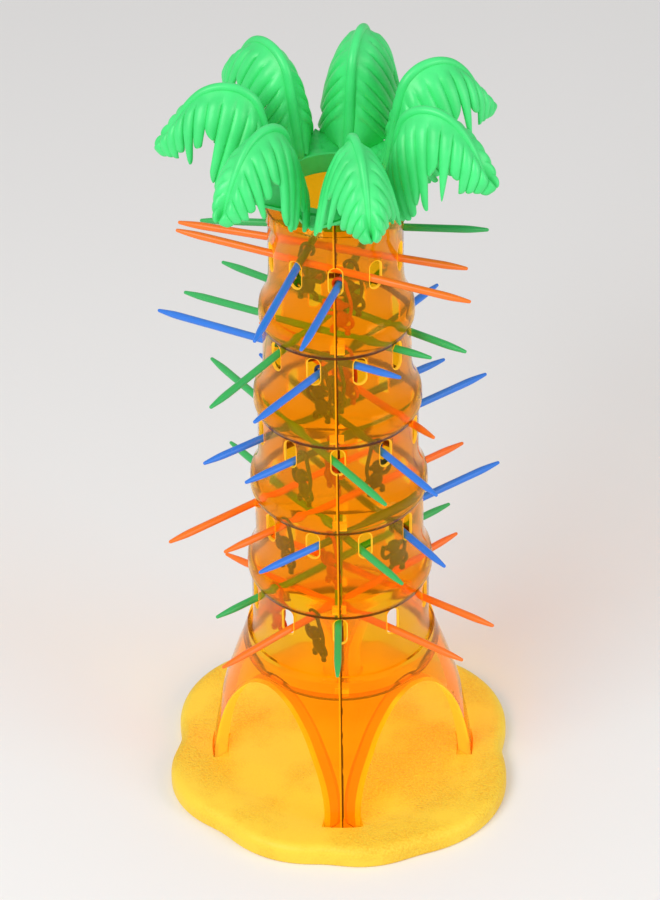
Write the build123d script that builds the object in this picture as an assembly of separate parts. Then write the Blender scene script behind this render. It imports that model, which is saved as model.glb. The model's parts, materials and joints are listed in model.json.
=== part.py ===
from build123d import *
import math
import os

# Balancing tree game: a palm tree of clear orange plastic on a lobed sand base. Loose sticks cross inside
# its trunk through slots, and small monkeys hang on the sticks. Sizes are in millimetres, +Z is up, the table
# is at zero, the trunk's axis is the Z axis, and angles run from the front, -Y, towards the right, +X.

overrun = 1.0

# Sand base
base_height = 12.0
base_radius = 104.0
base_edge_round = 6.0
base_bevel_share = 0.55
base_crown_share = 0.12
base_foot_chamfer = 1.5
dish_inner_radius = 46.0
dish_outer_radius = 88.0
dish_depth = 1.6
socket_depth = 4.0
socket_clearance = 0.3
socket_end_clearance = 0.9
lobe_corner_round = 14.0
# Outline of the base, lobe by lobe: where the hollow before a lobe lies and where its peak lies, each as a
# share of a full turn and a share of the base radius
lobe_shares = (
    ((-0.015, 0.928), (0.030, 0.968)),
    ((0.070, 0.950), (0.155, 1.0)),
    ((0.248, 0.888), (0.330, 0.998)),
    ((0.420, 0.940), (0.500, 0.998)),
    ((0.562, 0.970), (0.628, 1.038)),
    ((0.735, 0.905), (0.822, 1.0)),
    ((0.872, 0.930), (0.930, 0.970)),
)

# Trunk
wall = 1.8
seam_gap = 0.8
tier_count = 5
slots_per_tier = 10
tier_pitch = 56.8
bottom_lip_height = 80.0
top_lip_radius = 43.0
lip_spread = 12.2
neck_radius = 38.2
neck_height = 70.0
bead_above = 8.0
bead_below = 4.0
bead_proud = 1.3
step_height = 2.5
flare_steps = 2
mouth_rim_height = 8.0
slot_rise = 41.5
slot_height = 16.8
slot_width = 7.2
slot_land = 1.5
lip_spread_shares = (0.0, 0.32, 0.575, 0.79, 1.0)
waist_shares = (0.860, 0.877, 0.900, 0.905, 0.918)
neck_top = base_height + bottom_lip_height + tier_pitch * (tier_count - 1) + neck_height

# Legs and arches
foot_radius = 76.2
skirt_top_above_lip = 11.0
leg_flange = 8.0
leg_count = 4
arch_half_width = 45.5
arch_height = 75.2
skirt_steps = 4
arch_outline_shares = ((1.0, 0.0), (0.82, 0.50), (0.42, 0.88), (0.0, 1.0))
skirt_shares = ((0.0, 1.0), (0.68, 0.46), (1.0, 0.0))

# Clip tabs across the seams
tab_length = 4.4
tab_reach = 3.4
tab_thickness = 1.2
tab_height = 5.0
tab_clearance = 0.8

# Crown collar and its small leaves
collar_ring_height = 4.0
collar_inner_radius = 35.0
collar_outer_radius = 44.0
collar_fit = 0.3
spigot_depth = 2.5
collar_skirt_depth = 7.0
collar_skirt_wall = 1.8
leaflet_tip_radius = 62.0
leaflet_half_width = 13.0
leaflet_thickness = 1.6
leaflet_rib = 1.1
leaflet_tilt = 12.0
leaflet_shoulder_share = 0.62
leaflet_vein_share = 0.8
frond_count = 7
first_frond_angle = 12.0
peg_across = 3.0
peg_along = 5.0
peg_depth = 3.0
peg_clearance = 0.2
frond_foot_radius = (collar_inner_radius + collar_outer_radius) / 2

# Palm fronds
midrib_radius = 3.2
midrib_tip_radius = 1.3
frond_reach = 53.0
frond_rise = 70.0
frond_half_width = 20.0
frond_sheet = 1.3
frond_tip_lean = 0.6
midrib_rings = 8
midrib_sides = 8
pleat_count = 11
pleat_height = 2.2
frond_line_shares = ((0.0, 0.0), (0.05, 0.55), (0.34, 1.0), (0.74, 0.79), (1.0, 0.39))
blade_edge_shares = (
    (0.03, 0.14, 0.10),
    (0.24, 0.285, 0.68),
    (0.39, 0.40, 0.91),
    (0.54, 0.485, 1.0),
    (0.71, 0.50, 0.90),
    (0.905, 0.40, 0.64),
    (1.02, 0.31, 0.25),
)
ragged_shares = (0.0, 0.05, -0.04, 0.03, 0.0, 0.06, -0.05, 0.04, -0.16, 0.05)
blade_start_share = 0.13
blade_end_share = 0.97
fold_root_share = 0.5

# Sticks
stick_length = 168.0
stick_radius = 2.1
stick_tip_radius = 1.0
stick_taper = 14.0
stick_sides = 12
stick_clearance = 0.2

# Where each stick lies: tier from the top, the two slots counted from the front, its place aside and up in
# the first and in the second slot, and how much of its free length stands out of the first slot
stick_shares = (
    ("green_1", 0, 6, 3, 0.058, -0.798, 0.112, 0.631, 0.526),
    ("orange_1", 0, 7, 2, -0.940, -0.480, -0.902, -0.111, 0.586),
    ("orange_2", 0, 8, 1, -0.080, 0.325, 0.059, -0.488, 0.506),
    ("blue_1", 0, 9, 5, 0.600, 0.851, 0.628, 0.664, 0.764),
    ("blue_2", 0, 0, 4, -0.007, -0.983, 0.011, -0.983, 0.596),
    ("green_2", 1, 5, 2, 0.038, -0.344, -0.027, -0.065, 0.633),
    ("green_3", 1, 6, 1, 0.735, -0.898, 0.965, 0.552, 0.744),
    ("blue_3", 1, 7, 0, -0.049, -0.836, 0.212, 0.460, 0.732),
    ("blue_4", 1, 9, 3, -0.650, -0.822, -0.461, -0.912, 0.570),
    ("green_4", 1, 8, 4, 0.358, 0.272, -0.787, 0.544, 0.663),
    ("green_5", 2, 7, 0, -0.103, 0.021, -0.038, -0.296, 0.535),
    ("blue_5", 2, 8, 4, 0.011, -0.846, 0.557, -0.862, 0.478),
    ("blue_6", 2, 9, 3, -0.109, -0.975, 0.661, -0.800, 0.372),
    ("blue_7", 2, 6, 1, -0.034, -0.060, 0.030, -0.188, 0.402),
    ("orange_3", 2, 2, 5, 0.028, 0.537, 0.105, -0.394, 0.199),
    ("green_6", 3, 6, 0, -0.245, -0.959, -0.003, -0.983, 0.552),
    ("orange_4", 3, 8, 3, 0.282, -0.303, 0.006, -0.084, 0.443),
    ("blue_8", 3, 9, 2, 0.032, -0.295, 0.044, -0.100, 0.402),
    ("orange_5", 3, 7, 4, 0.109, -0.339, -0.047, 0.044, 0.651),
    ("blue_9", 3, 1, 5, -0.168, -0.965, -0.582, -0.842, 0.460),
    ("orange_6", 4, 7, 1, -0.592, -0.873, 0.078, -0.978, 0.330),
    ("orange_7", 4, 2, 6, 0.714, -0.594, -0.559, -0.855, 0.653),
    ("green_7", 4, 0, 5, -0.948, 0.369, 0.374, 0.888, 0.621),
    ("green_8", 4, 8, 4, 0.261, -0.279, 0.750, 0.148, 0.396),
    ("orange_8", 4, 9, 3, 0.618, -0.852, 0.143, 0.868, 0.650),
)

# Monkeys: a flat moulded figure with a curled tail for a hook. Lines are shares of the figure's height, across
# and up
hook_clearance = 0.45
hook_band = 2.0
hook_start = -60
hook_step = 40
hook_points = 7
limb_thickness = 3.0
body_thickness = 5.0
head_thickness = 5.6
limb_band = 2.2
figure_height = 32.0
figure_sides = 8
tail_shares = ((-0.150, -0.23), (-0.200, -0.40), (-0.190, -0.60), (-0.06, -0.79))
raised_arm_shares = ((0.06, -0.60), (0.20, -0.64), (0.295, -0.56), (0.285, -0.43))
lowered_arm_shares = ((-0.06, -0.60), (-0.19, -0.68), (-0.215, -0.80), (-0.16, -0.87))
leg_shares = ((0.05, -0.80), (0.14, -0.90), (0.105, -0.965), (0.175, -0.985))
head_shares = (0.045, -0.42, 0.135, 0.135)
ear_shares = (0.14, 0.02, 0.052)
belly_shares = (0.0, -0.69, 0.145, 0.185)

# Where each monkey hangs: the stick, how far along its length between the slots, and which way the monkey
# faces
monkey_shares = (
    ("green_1", "blue_1", 0.28, -1),
    ("orange_1", "blue_2", 0.10, 1),
    ("blue_1", "blue_2", 0.38, 1),
    ("blue_2", "blue_4", 0.10, 1),
    ("green_2", "blue_4", 0.26, 1),
    ("orange_2", "blue_4", 0.40, 1),
    ("orange_3", "blue_6", 0.34, -1),
    ("green_3", "blue_6", 0.10, 1),
    ("blue_3", "blue_7", 0.90, 1),
    ("blue_4", "orange_4", 0.10, 1),
    ("orange_4", "blue_8", 0.16, 1),
    ("green_4", "blue_9", 0.12, 1),
    ("orange_5", "green_8", 0.14, 1),
    ("blue_5", "orange_8", 0.18, 1),
)


def lip_radius(tier):
    return top_lip_radius + lip_spread * lip_spread_shares[tier]


def waist_radius(tier):
    return lip_radius(tier) * waist_shares[tier]


def lip_height(tier):
    return base_height + bottom_lip_height + tier_pitch * (tier_count - 1 - tier)


def slot_centre(tier):
    return lip_height(tier) + slot_rise


def slot_angle(tier, slot):
    """Slots are evenly spaced, and every second tier is turned by half a space."""
    step = 360 / slots_per_tier
    return step * slot + (step / 2 if tier % 2 else 0)


def turned(shape, angle):
    return Rot(0, 0, angle) * shape


def bell_edges(tier, inset):
    """The wall line of one bell from its top down to the step under its lip."""
    top = neck_top if tier == 0 else lip_height(tier - 1) - bead_below - step_height
    waist = waist_radius(tier) - inset
    lip = lip_radius(tier) - inset
    crease = (lip - bead_proud, lip_height(tier) + bead_above)
    straight_end = (waist, slot_centre(tier) - slot_height / 2 - slot_land)
    if tier == 0:
        rim = neck_radius - inset
        low = top - mouth_rim_height
        upper = Polyline((rim, top), (rim, low), (waist, low - step_height), straight_end)
    else:
        upper = Polyline((waist, top), straight_end)
    curve = TangentArc(straight_end, crease, tangent=(0, -1))
    flare = Polyline([curve @ (i / flare_steps) for i in range(flare_steps + 1)])
    under = (lip - bead_proud / 2, lip_height(tier) - bead_below)
    bead = Polyline(crease, (lip, lip_height(tier) + bead_above / 4), under)
    if tier + 1 < tier_count:
        foot = (waist_radius(tier + 1) - inset, lip_height(tier) - bead_below - step_height)
    else:
        foot = (lip - bead_proud * 2, lip_height(tier) - bead_below - step_height)
    return [*upper.edges(), *flare.edges(), *bead.edges(), Line(under, foot)]


def wall_edges(inset):
    edges = []
    for tier in range(tier_count):
        edges += bell_edges(tier, inset)
    return edges


def closed_profile(outer, inner):
    """A face between two wall lines that run the same way."""
    caps = [Line(outer[0] @ 0, inner[0] @ 0), Line(outer[-1] @ 1, inner[-1] @ 1)]
    return Plane.XZ * make_face(outer + inner + caps)


def skirt_line(inset):
    top_radius = lip_radius(tier_count - 1) - bead_proud
    top = lip_height(tier_count - 1) + skirt_top_above_lip
    low = base_height - socket_depth
    points = [(top_radius + (foot_radius - top_radius) * out - inset, low + (top - low) * up)
              for out, up in skirt_shares]
    curve = ThreePointArc(*points)
    return Polyline([curve @ (i / skirt_steps) for i in range(skirt_steps + 1)]).edges()


def arch_outline(extra):
    """Half of the arch mirrored: an opening that narrows to its crown, grown all round by extra."""
    low = -socket_depth - overrun
    right = [((arch_half_width + extra) * out, (arch_height + extra) * up) for out, up in arch_outline_shares]
    left = [(-out, up) for out, up in reversed(right[:-1])]
    crown = ThreePointArc(right[2], right[3], left[0])
    sides = [ThreePointArc(*right[:3]), ThreePointArc(*left[:3])]
    foot = Polyline(left[2], (left[2][0], low), (right[0][0], low), right[0])
    return make_face([crown, *sides, foot])


def arch_prism(angle, extra):
    front = Plane(origin=(0, 0, base_height), x_dir=(1, 0, 0), z_dir=(0, -1, 0))
    return turned(extrude(front * arch_outline(extra), foot_radius + overrun), angle)


def leg_angles():
    return [360 / leg_count * i for i in range(leg_count)]


def arch_angles():
    return [angle + 180 / leg_count for angle in leg_angles()]


def skirt_with_legs():
    """The flared skirt cut by four arches, with a flange turned inwards along each arch."""
    skin = revolve(closed_profile(skirt_line(0), skirt_line(wall)), Axis.Z)
    deep = revolve(closed_profile(skirt_line(0), skirt_line(leg_flange)), Axis.Z)
    holes = [arch_prism(angle, 0) for angle in arch_angles()]
    rims = [arch_prism(angle, wall) - hole for angle, hole in zip(arch_angles(), holes)]
    skin = skin - holes
    for rim in rims:
        skin = skin + (deep & rim)
    return skin


def slot_cutter(tier, slot):
    radius = waist_radius(tier) - slot_width
    plane = Plane(origin=(0, -radius, slot_centre(tier)), x_dir=(1, 0, 0), z_dir=(0, -1, 0))
    outline = plane * SlotOverall(slot_height, slot_width, rotation=90)
    return turned(extrude(outline, lip_radius(tier) - radius + overrun), slot_angle(tier, slot))


def clip_tab(tier, side, angle):
    """A tab on the left (-1) or right (+1) half that reaches across the seam behind the lip."""
    inner = lip_radius(tier) - wall
    face = math.sqrt(inner ** 2 - tab_reach ** 2) - tab_clearance
    back = face - tab_thickness
    root = face + tab_clearance + wall / 2
    corners = ((-tab_reach, back), (-tab_reach, face), (seam_gap / 2, face), (seam_gap / 2, root),
               (tab_length, root), (tab_length, back))
    outline = make_face(Polyline([(side * across, -out) for across, out in corners], close=True))
    low = lip_height(tier) - tab_height / 2
    return turned(extrude(Plane.XY.offset(low) * outline, tab_height), angle)


def trunk_halves():
    bells = revolve(closed_profile(wall_edges(0), wall_edges(wall)), Axis.Z)
    trunk = bells + skirt_with_legs()
    trunk = trunk - [slot_cutter(tier, slot) for tier in range(tier_count) for slot in range(slots_per_tier)]
    halves = []
    for side in (-1, 1):
        keep = Keep.TOP if side > 0 else Keep.BOTTOM
        half = split(trunk, bisect_by=Plane.YZ.offset(side * seam_gap / 2), keep=keep)
        for tier in range(tier_count):
            for angle in (0, 180):
                owner = 1 if (tier % 2 == 0) == (angle == 0) else -1
                if owner == side:
                    half = half + clip_tab(tier, side if angle == 0 else -side, angle)
        halves.append(half)
    return halves


def rim_point(turn, reach):
    angle = math.radians(360 * turn)
    return (base_radius * reach * math.sin(angle), -base_radius * reach * math.cos(angle))


def base_outline():
    """Seven bulging lobes, each an arc through its peak from one hollow to the next."""
    arcs = []
    for i, (hollow, peak) in enumerate(lobe_shares):
        following = lobe_shares[(i + 1) % len(lobe_shares)][0]
        arcs.append(ThreePointArc(rim_point(*hollow), rim_point(*peak), rim_point(*following)))
    outline = make_face(arcs)
    return fillet(outline.vertices(), lobe_corner_round)


def leg_half_angle():
    reach = arch_half_width / foot_radius
    return 180 / leg_count - math.degrees(math.asin(reach))


def socket(angle):
    """A shallow pit that the foot of one leg stands in, wider inwards because the leg leans in."""
    inner = foot_radius - leg_flange - socket_end_clearance
    outer = foot_radius + socket_clearance
    half = leg_half_angle() + math.degrees(socket_end_clearance / foot_radius)
    depth = socket_depth + overrun
    middle = ((inner + outer) / 2, base_height - socket_depth + depth / 2)
    section = Pos(*middle) * Rectangle(outer - inner, depth)
    return turned(revolve(Plane.XZ * section, Axis.Z, 2 * half), angle - 90 - half)


def dish():
    """A shallow ring valley in the sand round the legs."""
    middle = (dish_inner_radius + dish_outer_radius) / 2
    floor = Polyline((dish_inner_radius, base_height), (middle, base_height - dish_depth),
                     (dish_outer_radius, base_height))
    top = Polyline(floor @ 1, (dish_outer_radius, base_height + overrun),
                   (dish_inner_radius, base_height + overrun), floor @ 0)
    return revolve(Plane.XZ * make_face([floor, top]), Axis.Z)


def sand_base():
    """The lobed foot: its upper edge is bevelled twice so that it comes near to a round."""
    body = extrude(base_outline(), base_height)
    body = chamfer(body.faces().sort_by(Axis.Z)[-1].edges(), base_edge_round * base_bevel_share)
    body = chamfer(body.faces().sort_by(Axis.Z)[-1].edges(), base_edge_round * base_crown_share,
                   base_edge_round * base_bevel_share)
    body = chamfer(body.faces().sort_by(Axis.Z)[0].edges(), base_foot_chamfer)
    return body - dish() - [socket(angle) for angle in leg_angles()]


def frond_angles():
    return [first_frond_angle + 360 / frond_count * i for i in range(frond_count)]


def leaflet():
    """A small pointed leaf between two fronds, with a raised middle vein."""
    root = collar_outer_radius - wall
    length = leaflet_tip_radius - root
    shoulder = length * leaflet_shoulder_share
    vein_length = length * leaflet_vein_share
    outline = make_face([
        Spline([(-leaflet_half_width, 0), (-leaflet_half_width / 2, shoulder), (0, length)]),
        Spline([(0, length), (leaflet_half_width / 2, shoulder), (leaflet_half_width, 0)]),
        Line((leaflet_half_width, 0), (-leaflet_half_width, 0)),
    ])
    sheet = extrude(outline, leaflet_thickness)
    vein = Pos(0, vein_length / 2, leaflet_thickness) * Box(leaflet_rib, vein_length, leaflet_rib)
    leaf = Rot(leaflet_tilt, 0, 0) * (sheet + vein)
    return Pos(0, -root, neck_top + collar_ring_height - leaflet_thickness) * (Rot(0, 0, 180) * leaf)


def crown_collar():
    ring_top = neck_top + collar_ring_height
    spigot_outer = neck_radius - wall - collar_fit
    skirt_inner = neck_radius + collar_fit
    skirt_outer = skirt_inner + collar_skirt_wall
    section = Polyline(
        (collar_inner_radius, neck_top - spigot_depth),
        (collar_inner_radius, ring_top),
        (collar_outer_radius, ring_top),
        (collar_outer_radius, neck_top),
        (skirt_outer, neck_top),
        (skirt_outer, neck_top - collar_skirt_depth),
        (skirt_inner, neck_top - collar_skirt_depth),
        (skirt_inner, neck_top),
        (spigot_outer, neck_top),
        (spigot_outer, neck_top - spigot_depth),
        close=True,
    )
    ring = revolve(Plane.XZ * make_face(section), Axis.Z)
    half_step = 180 / frond_count
    ring = ring + [turned(leaflet(), angle + half_step) for angle in frond_angles()]
    bore = extrude(Plane.XY.offset(neck_top - spigot_depth) * Circle(collar_inner_radius), frond_rise)
    hole = Pos(0, -frond_foot_radius, ring_top - peg_depth / 2) * Box(
        peg_along + 2 * peg_clearance, peg_across + 2 * peg_clearance, peg_depth + peg_clearance)
    return ring - bore - [turned(hole, angle) for angle in frond_angles()]


def frond_point(out, up, side):
    foot = neck_top + collar_ring_height
    return Vector(side * frond_half_width, -frond_foot_radius - out * frond_reach, foot + up * frond_rise)


def midrib_line():
    points = [frond_point(out, up, 0) for out, up in frond_line_shares]
    return Spline(points, tangents=[(0, 0, 1), (0, -frond_tip_lean, -1)])


def skin_of(rings, closed):
    """Triangles between rings of points; a closed skin joins the last point of a ring to the first."""
    faces = []
    for ring, following in zip(rings, rings[1:]):
        count = len(ring)
        for i in range(count if closed else count - 1):
            j = (i + 1) % count
            faces.append(Face(Wire.make_polygon([ring[i], ring[j], following[j]])))
            faces.append(Face(Wire.make_polygon([ring[i], following[j], following[i]])))
    return faces


def midrib():
    """The thick stalk, thinner towards its tip, with a square peg under its foot."""
    line = midrib_line()
    rings = []
    for i in range(midrib_rings):
        along = i / (midrib_rings - 1)
        radius = midrib_radius + (midrib_tip_radius - midrib_radius) * along
        plane = Plane(line @ along, x_dir=(1, 0, 0), z_dir=line % along)
        rings.append([plane.from_local_coords(Vector(radius, 0, 0).rotate(Axis.Z, 360 * k / midrib_sides))
                      for k in range(midrib_sides)])
    ends = [Face(Wire.make_polygon(ring)) for ring in (rings[0], rings[-1])]
    foot = neck_top + collar_ring_height
    peg = Pos(0, -frond_foot_radius, foot - peg_depth / 2 + overrun / 2) * Box(
        peg_along, peg_across, peg_depth + overrun)
    return Solid(Shell(skin_of(rings, True) + ends)) + peg


def pleated_blade(side):
    """One side of a leaf: a thin pleated sheet that hangs from the midrib out to a ragged edge."""
    line = midrib_line()
    edge = Spline([frond_point(out, up, side * share) for out, up, share in blade_edge_shares])
    columns = 2 * pleat_count + 1
    rings = []
    for i in range(columns):
        along = i / (columns - 1)
        root = line @ (blade_start_share + (blade_end_share - blade_start_share) * along)
        tip = edge @ along
        tip = tip + (tip - root) * ragged_shares[i % len(ragged_shares)]
        span = (tip - root).normalized()
        across = span.cross(line % along).normalized() * side
        fold = across * (pleat_height / 2 if i % 2 else -pleat_height / 2)
        skin = across * (frond_sheet / 2)
        root = root + span * (midrib_tip_radius / 2) + fold * fold_root_share
        rings.append([root + skin, tip + fold + skin / 2, tip + fold - skin / 2, root - skin])
    ends = []
    for ring in (rings[0], rings[-1]):
        ends += [Face(Wire.make_polygon([ring[0], ring[1], ring[2]])),
                 Face(Wire.make_polygon([ring[0], ring[2], ring[3]]))]
    return Solid(Shell(skin_of(rings, True) + ends))


def frond():
    return midrib() + pleated_blade(1) + pleated_blade(-1)


def stick():
    """A rod along +Z from zero, tapered to a blunt tip at both ends."""
    sections = [(0, stick_tip_radius), (stick_taper, stick_radius), (stick_length - stick_taper, stick_radius),
                (stick_length, stick_tip_radius)]
    rings = [[Vector(radius, 0, height).rotate(Axis.Z, 360 * k / stick_sides) for k in range(stick_sides)]
             for height, radius in sections]
    ends = [Face(Wire.make_polygon(ring)) for ring in (rings[0], rings[-1])]
    return Solid(Shell(skin_of(rings, True) + ends))


def slot_point(tier, slot, aside, rise):
    """The middle of the wall in a slot, moved by shares of the room that a stick has in it."""
    radius = waist_radius(tier) - wall / 2
    room_aside = slot_width / 2 - stick_radius - stick_clearance
    room_up = slot_height / 2 - stick_radius - stick_clearance
    turn = math.radians(slot_angle(tier, slot))
    outward = Vector(math.sin(turn), -math.cos(turn), 0)
    along_wall = Vector(math.cos(turn), math.sin(turn), 0)
    height = slot_centre(tier) + rise * room_up
    return outward * radius + along_wall * (aside * room_aside) + Vector(0, 0, height)


def stick_line(place):
    """Start point, direction and inner length of a stick that crosses the trunk between two slots."""
    tier, slot_1, slot_2, aside_1, rise_1, aside_2, rise_2, out_share = place
    enter = slot_point(tier, slot_1, aside_1, rise_1)
    leave = slot_point(tier, slot_2, aside_2, rise_2)
    direction = (leave - enter).normalized()
    inner = (leave - enter).length
    start = enter - direction * (out_share * (stick_length - inner))
    return start, direction, inner, enter


def stick_plane(place):
    start, direction, *_ = stick_line(place)
    return Plane(start, z_dir=direction)


def band(points, width):
    """A flat strip of one width along a line of points."""
    left, right = [], []
    for i, point in enumerate(points):
        way = Vector(points[min(i + 1, len(points) - 1)]) - Vector(points[max(i - 1, 0)])
        across = Vector(-way.Y, way.X).normalized() * (width / 2)
        left.append(Vector(point) + across)
        right.append(Vector(point) - across)
    return make_face(Polyline(left + right[::-1], close=True))


def oval(across, up, half_width, half_height):
    """A flat oval with few sides, its place and size in shares of the figure's height."""
    corners = []
    for k in range(figure_sides):
        turn = math.tau * (k + 0.5) / figure_sides
        corners.append(((across + half_width * math.cos(turn)) * figure_height,
                        (up + half_height * math.sin(turn)) * figure_height))
    return make_face(Polyline(corners, close=True))


def limb(shares, way=1):
    return band([(way * across * figure_height, up * figure_height) for across, up in shares], limb_band)


def tail():
    """The hook round the stick, with its middle at zero, and the tail down to the rump."""
    radius = stick_radius + hook_clearance + hook_band / 2
    turns = [math.radians(hook_start + hook_step * k) for k in range(hook_points)]
    curl = [(radius * math.cos(turn), radius * math.sin(turn)) for turn in turns]
    return band(curl + [(across * figure_height, up * figure_height) for across, up in tail_shares], hook_band)


def thick(outline, thickness):
    return extrude(outline, thickness / 2, both=True)


def monkey():
    """The whole figure: thin limbs and ears, a thicker belly and head."""
    aside, rise, ear = ear_shares
    limbs = tail() + [limb(raised_arm_shares), limb(lowered_arm_shares), limb(leg_shares), limb(leg_shares, -1)]
    limbs = limbs + [oval(head_shares[0] + way * aside, head_shares[1] + rise, ear, ear) for way in (-1, 1)]
    return (thick(limbs, limb_thickness) + thick(oval(*belly_shares), body_thickness)
            + thick(oval(*head_shares), head_thickness))


def monkey_plane(place, along, facing):
    """The plane of a monkey whose hook goes round a stick, at a share of the length inside the trunk."""
    start, direction, inner, enter = stick_line(place)
    axis = direction * facing
    sideways = Vector(0, 0, 1).cross(axis).normalized()
    return Plane(enter + direction * (inner * along), x_dir=sideways, z_dir=axis)


if __name__ == "__main__":
    os.makedirs("parts", exist_ok=True)
    export_step(sand_base(), "parts/base.step")
    left, right = trunk_halves()
    export_step(left, "parts/trunk_half_left.step")
    export_step(right, "parts/trunk_half_right.step")
    export_step(crown_collar(), "parts/crown_collar.step")
    leaf = frond()
    for number, angle in enumerate(frond_angles(), 1):
        export_step(turned(leaf, angle), f"parts/frond_{number}.step")
    rod = stick()
    places = {}
    for name, *place in stick_shares:
        places[name] = place
        export_step(stick_plane(place) * rod, f"parts/stick_{name}.step")
    figure = monkey()
    for name, stick_name, along, facing in monkey_shares:
        export_step(monkey_plane(places[stick_name], along, facing) * figure, f"parts/monkey_{name}.step")
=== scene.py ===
import json
import math

import bmesh
import bpy
from bpy.props import FloatProperty, FloatVectorProperty, IntProperty, PointerProperty
from mathutils import Matrix, Vector, noise
from mathutils.geometry import interpolate_bezier


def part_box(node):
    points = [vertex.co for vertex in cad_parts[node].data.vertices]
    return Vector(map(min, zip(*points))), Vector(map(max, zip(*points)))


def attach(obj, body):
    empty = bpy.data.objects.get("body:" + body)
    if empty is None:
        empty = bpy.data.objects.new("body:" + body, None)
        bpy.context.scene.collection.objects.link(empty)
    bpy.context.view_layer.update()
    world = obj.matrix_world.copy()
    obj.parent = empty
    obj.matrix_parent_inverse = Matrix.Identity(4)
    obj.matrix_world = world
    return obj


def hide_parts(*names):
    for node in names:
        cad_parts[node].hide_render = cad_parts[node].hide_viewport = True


bl_info = {
    "name": "Balancing Tree Game",
    "version": (1, 0, 0),
    "blender": (4, 5, 0),
    "location": "3D View > Sidebar > Tree Game",
    "description": "Dresses a balancing tree game: clear trunk, palm crown, sticks, monkeys and sand base",
    "category": "Object",
}

# All sizes are in metres. The table is at zero, the trunk's axis is the Z axis and the front is -Y. Angles
# are counted from the front towards the right, +X.
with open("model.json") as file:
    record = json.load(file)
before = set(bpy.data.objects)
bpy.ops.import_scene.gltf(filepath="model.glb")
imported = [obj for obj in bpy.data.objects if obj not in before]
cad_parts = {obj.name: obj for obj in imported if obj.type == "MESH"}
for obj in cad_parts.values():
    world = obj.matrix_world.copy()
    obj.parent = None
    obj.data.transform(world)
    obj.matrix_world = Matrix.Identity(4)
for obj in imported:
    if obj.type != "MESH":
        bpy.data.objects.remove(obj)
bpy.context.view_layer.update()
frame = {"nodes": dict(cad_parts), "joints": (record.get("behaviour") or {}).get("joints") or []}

base_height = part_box("base")[1].z
foot_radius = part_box("trunk_half_right")[1].y
foot_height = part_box("trunk_half_right")[0].z
neck_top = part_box("trunk_half_right")[1].z

# Edges sharper than this many degrees stay sharp, where a piece has no angle of its own
sharp_edge = 35
least_facets = 48

# Sand base: for each lobe the hollow before it and its peak, as shares of a full turn and of the base radius
base_radius = 0.104
lobe_shares = (
    ((-0.015, 0.928), (0.030, 0.968)),
    ((0.070, 0.950), (0.155, 1.0)),
    ((0.248, 0.888), (0.330, 0.998)),
    ((0.420, 0.940), (0.500, 0.998)),
    ((0.562, 0.970), (0.628, 1.038)),
    ((0.735, 0.905), (0.822, 1.0)),
    ((0.872, 0.930), (0.930, 0.970)),
)
hollow_passes = 14
least_lobe_steps = 8
base_round_steps = 6
dish_inner_radius = 0.046
dish_outer_radius = 0.088
top_rings = 44
top_fade = 4
ripple_scale = 45
leg_flange = 0.008
socket_gap = 0.0005
socket_steps = 16
socket_sharp = 40
sand_shine = 0.25
sand_patch_scale = 28.0
sand_fine_scale = 900.0
sand_fine_share = 0.25
sand_relief = 0.0007

# Trunk
tier_count = 5
slots_per_tier = 10
tier_pitch = 0.0568
neck_height = 0.070
neck_radius = 0.0382
shoulder_radius = 0.0335
shoulder_rise = 0.0075
top_lip_radius = 0.043
lip_spread = 0.0122
lip_spread_shares = (0.0, 0.32, 0.575, 0.79, 1.0)
waist_shares = (0.860, 0.877, 0.900, 0.905, 0.918)
bell_steps = 10
bead_above = 0.008
bead_below = 0.004
bead_proud = 0.0013
bead_steps = 5
bead_start_slope = (1, -1.4)
bead_end_slope = (-1, -1.6)
step_height = 0.0025
mouth_rim_height = 0.008
slot_rise = 0.0415
slot_height = 0.0168
slot_width = 0.0072
slot_land = 0.0015
slot_rim_width = 0.00065
slot_rim_depth = 0.0006
slot_end_steps = 12
leg_count = 4
arch_half_width = 0.0455
arch_height = 0.0752
arch_outline_shares = ((1.0, 0.0), (0.82, 0.50), (0.42, 0.88), (0.0, 1.0))
arch_steps = 9
skirt_shares = ((0.0, 1.0), (0.46, 0.66), (0.71, 0.46), (1.0, 0.0))
skirt_top_above_lip = 0.011
skirt_steps = 8
skirt_start_slope = (0.25, -1)
skirt_end_slope = (0.08, -1)
seam_gap = 0.0008
tongue_half_width = 0.0011
tongue_share = 0.5
tongue_play_share = 0.06
tab_length = 0.0044
tab_reach = 0.0034
tab_thickness = 0.0012
tab_height = 0.005
tab_clearance = 0.0008
trunk_sharp = 28
# A distance outside the whole tree, for cutters
well_outside = base_radius * 2
# The places of the trunk's materials in its meshes: the clear wall, the dark painted shade of the steps and
# the seam, and the cut edges with their painted glow
wall_look, painted_shade_look, painted_glow_edge_look = 0, 1, 2

# Crown
collar_top = neck_top + 0.004
collar_inner_radius = 0.035
collar_outer_radius = 0.044
frond_count = 7
first_frond_angle = math.radians(12)
frond_foot_radius = (collar_inner_radius + collar_outer_radius) / 2
frond_reach = 0.053
frond_rise = 0.070
frond_half_width = 0.020
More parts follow.
